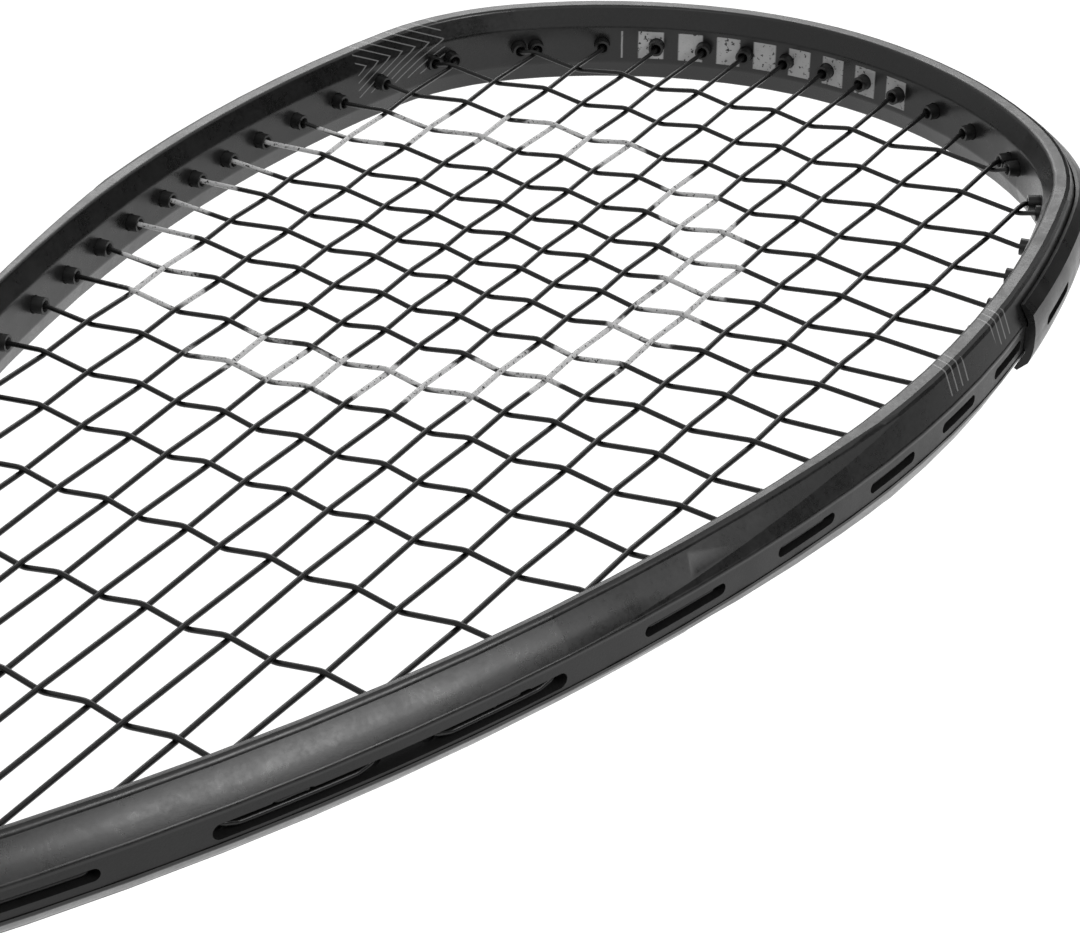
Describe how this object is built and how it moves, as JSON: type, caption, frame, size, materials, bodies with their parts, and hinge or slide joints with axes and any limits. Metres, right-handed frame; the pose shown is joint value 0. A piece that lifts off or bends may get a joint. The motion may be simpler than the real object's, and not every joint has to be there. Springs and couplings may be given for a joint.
{
  "type": "squash racket",
  "caption": "Squash racket with a teardrop carbon hoop, woven strings in grommet strips, tip bumper guard, slim shaft and a wrapped bevelled handle with butt cap.",
  "frame": {"origin": "centre of the flat butt end face, on the mid-plane of the string bed", "axes": "+Y along the racket to the tip, +Z normal to the string bed, +X across the head"},
  "size_m": [0.2022, 0.686, 0.032],
  "materials": {
    "carbon": "satin black lacquer on a hollow carbon moulding",
    "bumper_nylon": "satin, finely textured",
    "grommet_nylon": "matte",
    "string": "smooth black synthetic string",
    "handle_foam": "moulded polyurethane foam",
    "plug_foam": "soft foam",
    "cap_plastic": "satin moulded",
    "staple_steel": "plain wire",
    "grip": "cushioned synthetic leather strip",
    "tape": "vinyl tape",
    "rubber": "soft rubber"
  },
  "bodies": {
    "root": {"frame": "carbon", "bumper_guard": "bumper_nylon", "grommet_strip_right": "grommet_nylon", "grommet_strip_left": "grommet_nylon", "throat_grommet_right": "grommet_nylon", "throat_grommet_left": "grommet_nylon", "main_string": "string", "cross_string": "string", "handle_pallet_upper": "handle_foam", "handle_pallet_lower": "handle_foam", "shaft_end_plug": "plug_foam", "butt_cap": "cap_plastic", "butt_cap_staples": "staple_steel", "grip_wrap": "grip", "finishing_tape": "tape", "rubber_collar": "rubber"}
  },
  "joints": []
}
